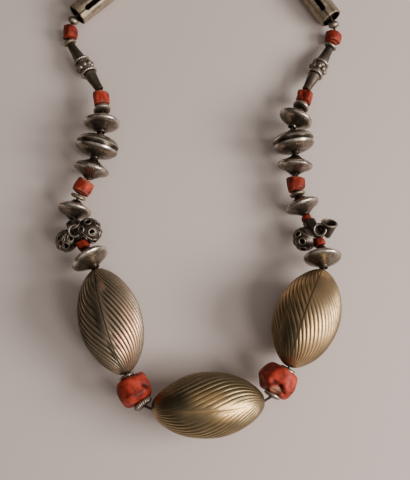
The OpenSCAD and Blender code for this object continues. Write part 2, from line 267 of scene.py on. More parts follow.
# Waxed cotton: the twist shows as short slanting ridges, and the wax gives it a dull dark sheen.
FIBRE_MM = 0.35
waxed_cotton, tree, where = new_material("waxed_cotton_thread")
fibres = add(tree, "TexNoise", {"Vector": where, "Scale": 1 / (FIBRE_MM * MM), "Detail": 3.0})
tone = add(tree, "Mix", {"Factor": fibres, "A": linear("#1c120e"), "B": linear("#46291f")}, **IN_COLOUR)
bump = add(tree, "Bump", {"Height": fibres, "Strength": 0.6, "Distance": 0.1 * MM})
shader = add(tree, "BsdfPrincipled", {"Base Color": tone, "Roughness": 0.6, "Normal": bump})
add(tree, "OutputMaterial", {"Surface": shader})

# The way of the thread: straight through each hole, then straight on to the next one.
route = np.array([centre_start, centre_end] + right_way + [clasp_end, clasp_start] + left_way[::-1])
stretches = np.linalg.norm(np.roll(route, -1, 0) - route, axis=1)
path = np.concatenate([
    a + (b - a) * np.linspace(0, 1, max(1, int(long / THREAD_STEP)), endpoint=False)[:, None]
    for a, b, long in zip(route, np.roll(route, -1, 0), stretches)])
twist = PLY_TURN * np.arange(len(path))[:, None]
ply = THREAD_R * (PLY_R - PLY_BULGE * np.cos(2 * (circle(THREAD_SIDES) - twist)))
piece("thread_twist", ["thread"], [(tube_along(path, ply) - LOOP_MIDDLE) * MM],
      waxed_cotton)

# Fluted beads
# Three large hollow beads, each beaten up from two sheets of silver and soldered along two seams
# that run from tip to tip. The flutes are chased into the sheet, turn round the bead and die out at
# the seams. The middle bead keeps a worn gilding.

TIP_SHARE, SWELL, BLUNTNESS = 0.16, 2.1, 0.76
BARREL_ROWS, BARREL_COLUMNS, BORE_ROWS = 170, 400, 4
BARREL_CROWDING = 0.3
# Depth of a groove, rise of the ridge beside it, and the groove's share of a flute.
GROOVE_MM, RIDGE_MM, GROOVE_SHARE = 0.42, 0.1, 0.3
# The seam is cut in a line, and the sheet on one side of it stands proud. Angles are in degrees.
SEAM_CUT_MM, SEAM_WIDTH = 0.07, 1.0
SEAM_STEP_MM, STEP_SHARPNESS, STEP_REACH = 0.07, 1.5, 14
# Half the width of the hollow along the seam.
VALLEY_WIDTH = 7
# Where the flutes die out: degrees from the front seam and the back one, and how fast at the tips.
FRONT_FADE, BACK_FADE, TIP_FADE = 4, 5, 7
# Height of the slow waves that the hammer left.
BEATEN_MM = 0.05
# The wall of the bore begins this far inside each mouth.
MOUTH_MM = 0.1


def into_place(name, points):
    """A bead's own points turned onto its hole and moved to it, in metres."""
    start, axes = places[name][:2]
    return (points @ axes + start - LOOP_MIDDLE) * MM


def turned(radius, angle, along):
    """The points r cos a, r sin a, z of a grid round a bead's hole."""
    return np.stack(np.broadcast_arrays(radius * np.cos(angle), radius * np.sin(angle), along), -1)


def barrel_share(u):
    """Share of the greatest radius: t + (1 - t) (1 - |u|^s)^b, with u from -1 to 1 along the bead."""
    return TIP_SHARE + (1 - TIP_SHARE) * np.maximum(0, 1 - np.abs(u) ** SWELL) ** BLUNTNESS


def crowded(count, crowding):
    """Numbers s (1 + c - c |s|) from -1 to 1, which crowd towards both ends."""
    s = np.linspace(-1, 1, count)
    return s * (1 + crowding - crowding * np.abs(s))


def patches(u, around, rows):
    """Soft patches, each amount * exp(-((u - u0) / w)^4 - ((a - a0) / h)^4), the greatest of all."""
    total = np.zeros(np.broadcast(u, around).shape)
    for u0, a0, wide, high, amount in rows:
        off = (around - a0 + 180) % 360 - 180
        total = np.maximum(total, amount * np.exp(-((u - u0) / wide) ** 4 - (off / high) ** 4))
    return total


def beside(off, width):
    """0 on a line and 1 well away from it: 1 - exp(-(off / width)^2)."""
    return 1 - np.exp(-(off / width) ** 2)


def fluted_bead(name, material, seam, sides, worn, dark, bright, relief, seam_dirt, valley):
    """Radius R share(u), less a groove wherever count (twisted angle - phase) / 360 is whole.

    The line, the step and the hollow of the seam and the hammer's waves are added to it.
    """
    length, width = places[name][2:]
    u = crowded(BARREL_ROWS, BARREL_CROWDING)[:, None]
    around = (np.arange(BARREL_COLUMNS) * 360 / BARREL_COLUMNS)[None, :] + 0 * u
    off_seam = (around - seam + 180) % 360 - 180
    off_back = (around - seam) % 360 - 180
    groove = np.zeros_like(around)
    for side, (count, rate, cubic, skew, phase) in zip((1, -1), sides):
        twisted = np.where(around > 180, around - 360, around) + rate * u + cubic * u**3 + skew * u**2
        part = ((twisted - phase) * count / 360 + 0.5) % 1 - 0.5
        cut = np.exp(-(part / (GROOVE_SHARE / 2)) ** 2)
        groove = np.where(np.sign(off_seam) == side, cut, groove)
    strength = (1 - patches(u, around, worn)) * beside(off_seam, FRONT_FADE) \
        * beside(off_back, BACK_FADE) * np.minimum(1, (1 - np.abs(u)) * TIP_FADE)
    share = barrel_share(u)
    seam_line = np.exp(-(off_seam / SEAM_WIDTH) ** 2) + 0.5 * np.exp(-(off_back / SEAM_WIDTH) ** 2)
    lifted = np.tanh(off_seam / STEP_SHARPNESS) * np.exp(-(off_seam / STEP_REACH) ** 2) * (1 - u**4)
    pressed = valley * np.exp(-(off_seam / VALLEY_WIDTH) ** 2) * (1 - u**4)
    chased = strength * share * (GROOVE_MM * groove - RIDGE_MM * (1 - groove))
    a = np.radians(around)
    beaten = np.sin(3 * a + 4 * u) + np.sin(5 * a - 7 * u + 1)
    radius = share * width / 2 - relief * chased - SEAM_CUT_MM * share * seam_line \
        + SEAM_STEP_MM * lifted - RIDGE_MM - pressed + BEATEN_MM * share * beaten
    outside = turned(radius, a, (u + 1) * length / 2)
    inside = turned(BORE_R, a[:1], np.linspace(length - MOUTH_MM, MOUTH_MM, BORE_ROWS)[:, None])
    bare = np.zeros(inside.shape[:2])
    # The dark mark is partly tarnish and partly painted shade, and it paints the bore's wall full dark as
    # shade. The bright mark is partly rubbed metal and partly painted highlight.
    marks = {
        "groove": [np.concatenate([groove * strength * min(1, relief), bare])],
        "seam": [np.concatenate([seam_dirt * seam_line, bare])],
        "dark": [np.concatenate([patches(u, around, dark), bare + 1])],
        "bright": [np.concatenate([patches(u, around, bright), bare])],
    }
    piece(name + "_sheet", [name], [into_place(name, np.concatenate([outside, inside]))],
          material, marks)


SCRATCH_MM, DENT_MM = 0.5, 2.2
# The cloud noise's own middle value, from which a cloud's edge is measured.
CLOUD_MIDDLE = 0.52


def worked_silver(name, metal, wear_and_highlight_metal, tarnish_and_shade, deep, polish, line_tarnish=0.7, clouds=0.35,
                  dents=0.0, cloud_mm=4.0, cloud_edge=0.14, dull=0.55):
    """Old worked silver, finely scratched, pale where worn and brown-black where tarnished.

    Its first colour is the clean metal. The second lies under the bright mark, which is wear and
    also painted highlight. The third and the deepest fourth lie where grooves, seams and clouds are
    tarnished, and under the dark mark, which is partly tarnished film and partly painted shade.
    Polish and dull are its roughness clean and tarnished, line_tarnish and clouds are shares, and
    dents is a depth.
    """
    material, tree, where = new_material(name)
    groove, seam, dark, bright = (
        add(tree, "Attribute", out="Fac", attribute_name=mark)
        for mark in ("groove", "seam", "dark", "bright"))
    cloud = add(tree, "TexNoise", {"Vector": where, "Scale": 1 / (cloud_mm * MM), "Detail": 5.0,
                                   "Roughness": 0.6})
    grain = add(tree, "TexNoise", {"Vector": where, "Scale": 1 / (SCRATCH_MM * MM), "Detail": 4.0,
                                   "Roughness": 0.65})
    cloudy = add(tree, "MapRange", {"Value": cloud, "From Min": CLOUD_MIDDLE - cloud_edge,
                                    "From Max": CLOUD_MIDDLE + cloud_edge})
    # Tarnish lies in the grooves and seams and in clouds between them. The dark mark adds patches that
    # are partly tarnish and partly painted shade, and paints the walls of holes dark as shade.
    in_lines = add(tree, "Math", {0: groove, 1: line_tarnish, 2: seam}, operation="MULTIPLY_ADD")
    in_lines = add(tree, "Math", {0: in_lines, 1: dark}, operation="MAXIMUM", use_clamp=True)
    in_clouds = add(tree, "Math", {0: cloudy, 1: clouds}, operation="MULTIPLY")
    soiled_and_shaded = add(tree, "Math", {0: in_lines, 1: in_clouds}, operation="ADD", use_clamp=True)
    # The bright mark paints rubbed wear, and on the fluted beads, the bicone rims and the lens edges it
    # also paints highlights.
    rubbed_and_highlit = add(tree, "Mix", {"Factor": bright, "A": linear(metal), "B": linear(wear_and_highlight_metal)}, **IN_COLOUR)
    body = add(tree, "Mix", {"Factor": soiled_and_shaded, "A": rubbed_and_highlit, "B": linear(tarnish_and_shade)}, **IN_COLOUR)
    deepest = add(tree, "Math", {0: in_lines, 1: 2.0}, operation="POWER")
    tone = add(tree, "Mix", {"Factor": deepest, "A": body, "B": linear(deep)}, **IN_COLOUR)
    rough = add(tree, "MapRange", {"Value": soiled_and_shaded, "To Min": polish, "To Max": dull})
    fine = add(tree, "Math", {0: grain, 1: 0.1, 2: rough}, operation="MULTIPLY_ADD")
    bump = add(tree, "Bump", {"Height": grain, "Strength": 0.25, "Distance": 0.05 * MM})
    if dents:
        hollows = add(tree, "TexNoise", {"Vector": where, "Scale": 1 / (DENT_MM * MM),
                                         "Detail": 2.0})
        bump = add(tree, "Bump", {"Height": hollows, "Strength": 1.0, "Distance": dents * MM,
                                  "Normal": bump})
    shader = add(tree, "BsdfPrincipled", {
        "Base Color": tone, "Metallic": 0.9, "Roughness": fine, "Normal": bump})
    add(tree, "OutputMaterial", {"Surface": shader})
    return material


# In these three, the second colour is rubbed metal and also the painted highlights of the fluted beads,
# and the third is tarnish and also their painted shade.
# Chased silver sheet rubbed by years of wear: warm grey metal with brown-black grooves.
chased_silver = worked_silver(
    "chased_worn_silver", "#aa9982", "#f6c6a0", "#5a5444", "#1e1b14", 0.27, line_tarnish=0.95)
# The same sheet on the right-hand side keeps a brassy olive film.
brassy_silver = worked_silver(
    "chased_brassy_silver", "#a88f6c", "#f0c992", "#666049", "#222019", 0.27, line_tarnish=0.85)
# Fire gilding rubbed thin over silver: golden olive, with the warm grey metal showing through.
worn_gilding = worked_silver(
    "worn_fire_gilding", "#a08c67", "#f2c888", "#5c5747", "#1e1c15", 0.23, line_tarnish=0.85)

# Seam: its angle round the bead. Sides: the flutes of each side of the seam, as their count round
# the whole bead, turn per half length, cubic turn, skew and first angle. Each patch row of worn,
# dark and bright: place along the bead, angle round it, half width, half angle and amount. Relief
# is a share of the flutes' depth, and valley the depth of a hollow along the seam.
# The dark rows are partly tarnish and partly painted shade and dark reflection; the bright rows lie where
# the highlights fall and are partly rubbed metal and partly painted highlight.
fluted_bead(
    "barrel_left", chased_silver, seam=-8,
    sides=[(40, 49, 10, 5, 1.53), (36, 57.5, 0, -10, 6.51)],
    worn=[(0, -16, 0.5, 8, 1), (0.3, -3, 0.5, 5, 0.5), (0.62, 2, 0.16, 9, 1),
          (-0.4, -6, 0.3, 5, 0.6)],
    dark=[(0.05, -18, 0.5, 8, 0.6), (-0.6, -14, 0.2, 4, 0.7), (0.72, -6, 0.07, 2, 0.9),
          (0.82, -3, 0.04, 3, 0.7), (0.1, -75, 0.9, 25, 0.5)],
    bright=[(-0.6, 15, 0.28, 14, 1), (-0.4, 42, 0.5, 18, 0.9), (0.58, 6, 0.1, 7, 0.6)],
    relief=1.1, seam_dirt=0.8, valley=0.0)
fluted_bead(
    "barrel_right", brassy_silver, seam=-9,
    sides=[(42, 56, 20, 25, 2.55), (36, 64, -10, 10, 4.74)],
    worn=[(-0.55, -28, 0.3, 16, 0.7), (0.5, 8, 0.35, 25, 0.7), (0.3, 25, 0.2, 12, 0.6)],
    dark=[(-0.5, -25, 0.36, 20, 0.62), (0.25, 25, 0.2, 10, 0.2), (-0.2, 90, 1, 30, 0.4),
          (-0.4, -70, 0.6, 30, 0.4)],
    bright=[(-0.4, 30, 0.45, 25, 0.9), (-0.1, 50, 0.5, 15, 0.8), (0.9, 0, 0.1, 30, 0.5),
            (0.4, -45, 0.3, 32, 0.55)],
    relief=0.7, seam_dirt=0.6, valley=0.0)
fluted_bead(
    "barrel_centre", worn_gilding, seam=15,
    sides=[(40, 47.5, 5, 15, 7.13), (38, 44.5, -10, 5, 5.05)],
    worn=[(-0.5, -4, 0.35, 18, 0.9), (-0.2, 15, 0.5, 9, 0.9), (0.1, -8, 0.3, 14, 0.7),
          (0.45, 15, 0.35, 14, 0.95), (0.45, 32, 0.2, 9, 0.6), (0.65, -25, 0.35, 25, 0.4),
          (-0.1, 26, 0.5, 9, 0.9)],
    dark=[(-0.6, -8, 0.28, 22, 0.65), (-0.35, 28, 0.3, 7, 0.3), (0.36, 20, 0.2, 1.5, 0.35),
          (0, -50, 0.9, 30, 0.35), (1, 10, 0.17, 70, 0.45), (0.68, -4, 0.25, 10, 0.3)],
    bright=[(0.42, 20, 0.3, 18, 0.9), (0.02, -6, 0.25, 14, 0.5), (-0.1, 15, 0.4, 2, 0.6)],
    relief=0.7, seam_dirt=0.15, valley=0.12)

# Bicones
# Eight hollow beads, each of two cones raised from thin silver sheet and soldered rim to rim. The
# cones curve in a little like a trumpet, the rims are painted pale all round, as rubbed wear and
# as a painted highlight, and a short collar of the sheet is left round the hole.

# An outline's corners are eased in five points, over at most this share of a side.
EASE_STEPS, EASE_MOST = np.linspace(0, 1, 5)[:, None], 0.45
# Dents begin this far outside the bore and reach their depth over this distance.
DENTS_FROM, DENTS_OVER = 0.3, 0.8
# The middle constant is the share of a bead's width over which it darkens towards the collar.
COLLAR_R, COLLAR_DARKENING, CONE_SHARE = 1.45, 0.14, 0.52


def eased(rows):
    """Rounds each corner p of a closed outline: (1-t)^2 a + 2 t (1-t) p + t^2 b, a and b beside it."""
    corners = np.array([row[:2] for row in rows], float)
    reach = np.array([row[2] for row in rows])
    points = []
    for k, p in enumerate(corners):
        before, after = corners[k - 1] - p, corners[(k + 1) % len(rows)] - p
        a = p + before * min(EASE_MOST, reach[k] / np.linalg.norm(before))
        b = p + after * min(EASE_MOST, reach[k] / np.linalg.norm(after))
        t = EASE_STEPS
        points.append((1 - t) ** 2 * a + 2 * t * (1 - t) * p + t**2 * b)
    return np.concatenate(points)


def filled(points, step):
    """The same closed outline with points no further apart than the step."""
    ends = np.roll(points, -1, 0)
    counts = np.maximum(1, np.ceil(np.linalg.norm(ends - points, axis=1) / step)).astype(int)
    return np.concatenate([a + (b - a) * np.linspace(0, 1, n, endpoint=False)[:, None]
                           for a, b, n in zip(points, ends, counts)])


def mirrored(half, length):
    """The other half of a bead's outline, from its middle to its far mouth."""
    return [(length - z, r, easing) for z, r, easing in half[::-1]]


def dented(radius, along, around, depth, seed):
    """Adds four slow waves, depth / sqrt(k) * sin(k a + m z + p), to a radius beyond the bore."""
    waves = np.random.default_rng(seed)
    free = np.clip((radius - BORE_R - DENTS_FROM) / DENTS_OVER, 0, 1)
    for k in (1, 2, 3, 5):
        m, p = waves.uniform(-0.6, 0.6), waves.uniform(0, 6.28)
        radius = radius + depth / k**0.5 * free * np.sin(k * around + m * along + p)
    return radius


def stripes(z, rows):
    """Marks across a bead: the sum of exp(-((z - at) / width)^2)."""
    return sum((np.exp(-((z - at) / wide) ** 2) for at, wide in rows), 0 * z)


def turned_bead(name, title, rows, material, dent, seed, columns=96, step=0.35, lines=(),
                rubbed_and_highlit=(), extra=()):
    """A closed outline of (along, radius, easing) carried round the hole, with dents.

    Lines are dark seams and bands, and the worn edges are pale, both as (along, width). A lens
    bead's dark band is painted shade, and the pale edges of bicones and lenses are partly painted
    highlight. Extra are grids of wire on the same bead.
    """
    length, width = places[name][2:]
    outline = filled(eased(rows + [(length, BORE_R, 0.12), (0, BORE_R, 0.12)]), step)
    a = circle(columns)
    z = outline[:, :1] + 0 * a
    r = dented(outline[:, 1:] + 0 * a, z, a, dent, seed)
    # The wall of the hole is painted full dark, as shade inside it.
    inside = (outline[:, 1:] < BORE_R + 0.05) + 0 * a
    near_hole = np.exp(-((r - COLLAR_R) / (COLLAR_DARKENING * width)) ** 2)
    plain = [np.zeros(g.shape[:2]) for g in extra]
    marks = {"groove": [0.7 * near_hole] + plain, "seam": [0.6 * stripes(z, lines)] + plain,
             "dark": [inside] + plain, "bright": [stripes(z, rubbed_and_highlit)] + [p + 0.6 for p in plain]}
    piece(f"{name}_{title}", [name], [into_place(name, g) for g in [turned(r, a, z), *extra]],
          material, marks)


# Sheet silver raised, soldered and worn: satin grey with warm clouds, and a pale rim that is rubbed
# wear and painted highlight.
raised_silver = worked_silver(
    "raised_worn_silver", "#857a6c", "#e6dccf", "#3a3228", "#13110c", 0.19, clouds=0.55,
    dents=0.12, cloud_mm=2.2, cloud_edge=0.1, dull=0.34)
for side in ("left", "right"):
    for i in range(4):
        name = f"bicone_{side}_{i + 1}"
        length, width = places[name][2:]
        cone = (length - CONE_SHARE * width) / 2
        half = [(0, COLLAR_R, 0.2), (cone, COLLAR_R, 0.25),
                (cone / 2 + length / 4, 0.5 * COLLAR_R + 0.26 * width, 1.2),
                (length / 2 - 1.1, width / 2 - 0.95, 0.7),
                (length / 2 - 0.55, width / 2 - 0.26, 0.35),
                (length / 2 - 0.2, width / 2 - 0.03, 0.2)]
        # The rim's pale stripe is rubbed wear and also a painted highlight.
        turned_bead(name, "cones", half + mirrored(half, length), raised_silver, 0.06,
                    i + 5 * len(side), lines=[(length / 2, 0.12)], rubbed_and_highlit=[(length / 2, 0.75)])

# Lens beads
# One in each strand: two domes of silver sheet soldered to a narrow flat band that lies between
# their edges. The band is painted dark, as shade and dark reflection in its recess, and the edges
# of the domes are painted pale all round, as rubbed wear and painted highlight.

# Width of the band, and the share of the bead's length at which its dome begins to rise.
LENS_BAND, DOME_FOOT = 1.2, 0.08
for name in ("lens_left", "lens_right"):
    length, width = places[name][2:]
    edge, foot = length / 2 - LENS_BAND / 2, DOME_FOOT * length
    dome = [(foot + (edge - foot) * (1 - np.cos(q)),
             COLLAR_R + (width / 2 - COLLAR_R) * np.sin(q), 0.3) for q in np.linspace(0, np.pi / 2, 8)]
    half = [(0, COLLAR_R, 0.15), *dome,
            (edge + 0.04, width / 2 - 0.1, 0.08), (edge + 0.06, 0.47 * width, 0.1)]
    # The wide line paints shade and dark reflection on the band; the edge stripes paint wear and
    # highlight.
    turned_bead(name, "domes", half + mirrored(half, length), raised_silver, 0.05,
                len(name), step=0.3, lines=[(length / 2, 0.62), (edge + 0.2, 0.12)],
                rubbed_and_highlit=[(edge - 0.35, 0.35), (length - edge + 0.35, 0.35)])

# Spacer rings
# Small rings between the beads. The one left of the middle bead is a rope of twisted silver wire,
# the others are cast, with a half-round edge and black dirt in the corners.

# Cast and wire silver left unpolished: near black in the corners and grey on the edges.
oxidised_silver = worked_silver(
    "oxidised_cast_silver", "#776d61", "#c4b9ab", "#38312a", "#100d0a", 0.3)
# The same casting where hands have kept it pale.
rubbed_silver = worked_silver(
    "rubbed_cast_silver", "#a89a84", "#e6d8c8", "#5f5440", "#241e18", 0.42, clouds=0.7, cloud_mm=1.2)
# The rope's section has the radius w (1 - plump (1 - |sin((n b + m a) / 2)|^0.6)), where a goes
# round the ring, b round the section, n is the number of strands and m that of their turns.
ROPE_STRANDS, ROPE_TURNS, ROPE_PLUMP = 2, 26, 0.35
length, width = places["ring_left_1"][2:]
a, b = circle(168), -circle(28).T
cut = np.abs(np.sin((ROPE_STRANDS * b + ROPE_TURNS * a) / 2)) ** 0.6
r = length / 2 * (1 - ROPE_PLUMP * (1 - cut))
rope = turned(np.maximum(width / 2 - length / 2 + r * np.cos(b), BORE_R), a,
              length / 2 - r * np.sin(b))
piece("ring_left_1_rope", ["ring_left_1"], [into_place("ring_left_1", rope)], oxidised_silver,
      {"groove": [1 - cut], "seam": [0 * cut], "dark": [0 * cut],
                 "bright": [np.clip(np.cos(b), 0, 1) * cut]})
for name in [n for n in places if n.startswith("ring") and n != "ring_left_1"]:
    length, width = places[name][2:]
    half = [(0, width * 0.3, 0.1), (0.04, width / 2 - 0.5 * length, 0.2),
            (length * 0.2, width / 2 - 0.1, 0.2)]
    rows = half + [(length * 0.5, width / 2, 0.2)] + mirrored(half, length)
    pale = name in ("ring_left_5", "ring_left_3", "ring_right_3")
    turned_bead(name, "casting", rows, rubbed_silver if pale else oxidised_silver,
                0.06, len(name) + int(name[-1]), columns=48, step=0.2,
                rubbed_and_highlit=[] if pale else [(length / 2, length / 3)])

# End balls and clasp
# Two small cast balls take the rub of the long tubes. The clasp is a plain silver barrel at the
# back of the neck, where nobody sees it, with one turned line.

BALL_RISE = np.radians(72)
for name in ("ball_left", "ball_right"):
    length, width = places[name][2:]
    rows = [(length / 2 + length / 2 * np.sin(q) / np.sin(BALL_RISE), width / 2 * np.cos(q), 0.25)
            for q in np.linspace(-BALL_RISE, BALL_RISE, 9)]
    turned_bead(name, "casting", rows, rubbed_silver, 0.03, 3, columns=48, step=0.25,
                rubbed_and_highlit=[(length / 2, length)])
end = [(0, CLASP_WIDTH * 0.3, 0.3), (1.3, CLASP_WIDTH * 0.43, 0.5), (3, CLASP_WIDTH / 2, 0.5)]
line = [(z, CLASP_WIDTH / 2 - dip, 0.15)
        for z, dip in ((8.4, 0), (8.6, 0.25), (8.9, 0.25), (9.1, 0))]
turned_bead("clasp", "barrel", end + line + mirrored(end, clasp_length), raised_silver,
            0.02, 4, columns=64, lines=[(8.75, 0.3)])

# Coral
# Branch coral, cut to length, ground on a wheel, drilled and polished by wear. The two large lumps
# have worn facets and a crevice, and the right one keeps pits where the branch was hollow. The
# small beads are stubby cylinders whose ends aren't square.

GROWTH_WAVES, GROWTH_MM = 14, 0.11


def rounded_by(direction, planes, power):
    """Distance to the rounded block of planes n.x = h: (sum max(0, n.d / h)^p)^(-1/p)."""
    total = 0
    for *facing, far in planes:
        n = unit(facing)
        total = total + np.maximum(0, direction @ n / far) ** power
    return total ** (-1 / power)


def coral_lump(name, power, planes, pits, creases, seed):
    """Distance in a direction plus slow growth waves, less the depth of the pits and creases.

    A pit takes off depth * exp(-(angle / size)^sharp), and each of the creases depth * exp(-(near /
    size)^2).
    """
    length = places[name][2]
    first = np.arctan2(BORE_R, length / 2)
    polar = np.linspace(np.pi - first, first, 110)[:, None]
    a = circle(150)
    way = turned(np.sin(polar), a, np.cos(polar))
    far = rounded_by(way, planes, power)
    waves = np.random.default_rng(seed)
    for k in range(GROWTH_WAVES):
        n = waves.normal(size=3) * (1.5 + 0.35 * k)
        far = far + GROWTH_MM / (1 + 0.25 * k) * np.sin(way @ n + waves.uniform(0, 6.28))
    hollow, crack_dirt_and_shade = np.zeros(far.shape), np.zeros(far.shape)
    for *aim, size, depth, sharp in pits:
        angle = np.degrees(np.arccos(np.clip(way @ unit(aim), -1, 1)))
        dip = np.exp(-(angle / size) ** sharp)
        far = far - depth * dip
        hollow = np.maximum(hollow, dip)
    for *ends, size, depth in creases:
        p, q = unit(ends[:3]), unit(ends[3:])
        t = np.clip(((way - p) @ (q - p)) / ((q - p) @ (q - p)), 0, 1)
        near = np.linalg.norm(way - (p + t[..., None] * (q - p)), axis=-1)
        dip = np.exp(-(np.degrees(near) / size) ** 2)
        far = far - depth * dip
        crack_dirt_and_shade = np.maximum(crack_dirt_and_shade, dip)
    outside = way * far[..., None]
    mouth = np.hypot(outside[..., 0], outside[..., 1])
    outside[..., :2] *= np.maximum(1, BORE_R / mouth)[..., None]
    outside[..., 2] += length / 2
    inside = turned(BORE_R, a, np.linspace(outside[-1, :, 2], outside[0, :, 2], 5)[1:-1])
    bare = np.zeros(inside.shape[:2])
    # Inside the hole the coral is painted dark, as shade.
    piece(name + "_ground", [name], [into_place(name, np.concatenate([outside, inside]))],
          polished_coral, {"hollow": [np.concatenate([hollow, bare])],
                                    "crack_dirt_and_shade": [np.concatenate([crack_dirt_and_shade, bare + 1])]})


def coral_stub(name, sides, slant, slant_at, chalk, painted_shade, seed):
    """Radius of a rounded many-sided prism, (sum max(0, cos(a - k) / h)^p)^(-1/p), ends slanted."""
    length, width = places[name][2:]
    outline = filled(eased([(0, width * 0.4, 0.3), (0.1, width * 0.47, 0.5),
                            (length * 0.4, width * 0.5, 0.8), (length * 0.75, width * 0.495, 0.8),
                            (length - 0.1, width * 0.47, 0.5), (length, width * 0.38, 0.3),
                            (length, BORE_R, 0.1), (0, BORE_R, 0.1)]), 0.3)
    a = circle(84)
    dice = np.random.default_rng(seed)
    flat = sum(np.maximum(0, np.cos(a - 2 * np.pi * (k + dice.uniform(-0.2, 0.2)) / sides)
                          / dice.uniform(0.84, 1.0)) ** 8 for k in range(sides)) ** (-1 / 8)
    z, r = outline[:, :1] + 0 * a, outline[:, 1:] + 0 * a
    free = np.clip((r - BORE_R) / DENTS_OVER, 0, 1)
    r = r * (1 + free * (np.minimum(flat, 1.12) - 1.02))
    r = dented(dented(r, z, a, 0.12, seed), 2.2 * z, 2 * a, 0.07, seed + 50)
    end = (2 * z / length - 1) * free
    z = z - 0.18 * length * slant * np.abs(end) * end * (0.5 + 0.5 * np.cos(a - slant_at))
    pale = chalk * np.exp(-((end - 1) / 0.35) ** 2) + 0.5 * chalk * np.exp(-((end + 1) / 0.3) ** 2)
    # The hole's wall is painted dark as shade, and the whole stub by its share of painted shade; the stub
    # also darkens towards both ends.
    shade_and_dark_ends = np.maximum(outline[:, 1:] < BORE_R + 0.05, np.maximum(painted_shade, 0.6 * np.abs(end) ** 8))
    piece(name + "_ground", [name], [into_place(name, turned(r, a, z))], polished_coral,
          {"hollow": [pale], "crack_dirt_and_shade": [shade_and_dark_ends]})


# Ground and worn coral: dense orange-red with paler growth bands, a soft glow at thin edges and dull
# chalky beige where the branch was hollow. Its dark red-brown is dirt in the cracks, and it paints
# shade inside the holes and over the stubs that lie in shade, which also darken towards their ends.
BAND_MM, PORE_MM = 2.6, 0.35
polished_coral, tree, where = new_material("ground_polished_coral")
hollow = add(tree, "Attribute", out="Fac", attribute_name="hollow")
crack_dirt_and_shade = add(tree, "Attribute", out="Fac", attribute_name="crack_dirt_and_shade")
bands = add(tree, "TexNoise", {"Vector": where, "Scale": 1 / (BAND_MM * MM), "Detail": 4.0,
                               "Roughness": 0.55})
pores = add(tree, "TexNoise", {"Vector": where, "Scale": 1 / (PORE_MM * MM), "Detail": 3.0})
banded = add(tree, "MapRange", {"Value": bands, "From Min": 0.34, "From Max": 0.66})
red = add(tree, "Mix", {"Factor": banded, "A": linear("#621b13"), "B": linear("#b8422e")}, **IN_COLOUR)
chalky = add(tree, "Math", {0: hollow, 1: pores, 2: hollow}, operation="MULTIPLY_ADD",
             use_clamp=True)
chalky = add(tree, "Math", {0: chalky, 1: 0.75}, operation="MULTIPLY")
worn = add(tree, "Mix", {"Factor": chalky, "A": red, "B": linear("#b5876a")}, **IN_COLOUR)
tone = add(tree, "Mix", {"Factor": crack_dirt_and_shade, "A": worn, "B": linear("#3d130c")}, **IN_COLOUR)
rough = add(tree, "MapRange", {"Value": chalky, "To Min": 0.5, "To Max": 0.8})
bump = add(tree, "Bump", {"Height": pores, "Strength": 0.25, "Distance": 0.08 * MM})
shader = add(tree, "BsdfPrincipled", {
    "Base Color": tone, "Roughness": rough, "Normal": bump, "Specular IOR Level": 0.2,
    "Subsurface Weight": 0.12, "Subsurface Radius": (1.0, 0.25, 0.12),
    "Subsurface Scale": 0.8 * MM})
add(tree, "OutputMaterial", {"Surface": shader})

# Planes: up, right, along and distance. Pits: up, right, along, size in degrees, depth, sharpness.
# Creases: from up, right, along to up, right, along, then size in degrees and depth.
coral_lump(
    "coral_large_right", power=16, seed=11,
    planes=[(0.1, 0, -1, 4.2), (0.1, 0, 1, 4.2), (0.2, -1, 0.25, 6.4), (0.75, -0.8, 0.1, 6.2),
            (1, 0, 0, 5.4), (0.8, 0.7, 0.2, 5.3), (0, 1, 0.2, 4.9), (-0.7, 0.7, 0, 5),
            (-1, 0, 0, 5.4), (-0.7, -0.7, 0, 5.8), (0.5, 0.6, -0.8, 4.9),
            (0.3, -0.7, -0.8, 5.2), (0.4, -0.6, 0.9, 5.2), (-0.5, 0.2, -0.9, 4.9),
            (0.1, 0.89, -0.43, 5.2), (0, 0.83, 0.56, 5.3)],
    pits=[(0.72, 0.12, -0.68, 21, 1.1, 6), (0.2, -0.9, -0.4, 12, 0.5, 4)],
    creases=[(0.93, -0.3, -0.25, 0.95, 0.15, -0.28, 7, 0.7),
             (0.95, 0.15, -0.28, 0.6, 0.62, -0.55, 7, 0.8)])
coral_lump(
    "coral_large_left", power=11, seed=12,
    planes=[(0, 0, -1, 4), (0, 0, 1, 4), (0, -1, 0, 5.2), (0.7, -0.7, 0.2, 5.2),
            (1, 0.1, 0, 5.1), (0.7, 0.8, 0.1, 5.3), (0, 1, 0, 5.4), (-0.7, 0.7, 0, 5),
            (-1, 0, 0, 5.1), (-0.7, -0.7, 0, 5), (0.5, 0.3, -0.9, 4.9),
            (0.4, -0.6, -0.8, 5), (0.4, 0.4, 0.9, 4.9), (0, -0.85, 0.53, 5.2),
            (0, 0.85, -0.53, 5.3)],
    pits=[], creases=[(0.7, 0.6, -0.15, 0.6, 0.72, -0.3, 11, 0.7)])
# Each row: sides ground on a stub, how much its ends slant and towards which angle, chalk, and the
# painted shade that darkens the whole stub.
for k, (name, sides, slant, slant_at, chalk, painted_shade) in enumerate([
        ("coral_small_right_1", 5, 0.4, 0, 0, 0.5), ("coral_small_right_2", 5, 0.4, 1, 0, 0.5),
        ("coral_small_left", 5, 0.6, 0, 0, 0.1), ("coral_mid_right", 6, 0.8, 1.2, 0.3, 0.5),
        ("coral_mid_left", 7, 0.5, 0.6, 0.5, 0), ("coral_tube_right", 5, 0.9, -0.8, 0.1, 0.45),
        ("coral_tube_left", 6, 0.7, 0.9, 0.4, 0), ("coral_top_right", 6, 0.8, 0.4, 0.1, 0.25),
        ("coral_top_left", 8, 0.4, 2, 0, 0.4), ("coral_back_right", 7, 0.5, 0, 0.2, 0),
        ("coral_back_left", 6, 0.5, 2, 0.2, 0)]):
    coral_stub(name, sides, slant, slant_at, chalk, painted_shade, 20 + k)

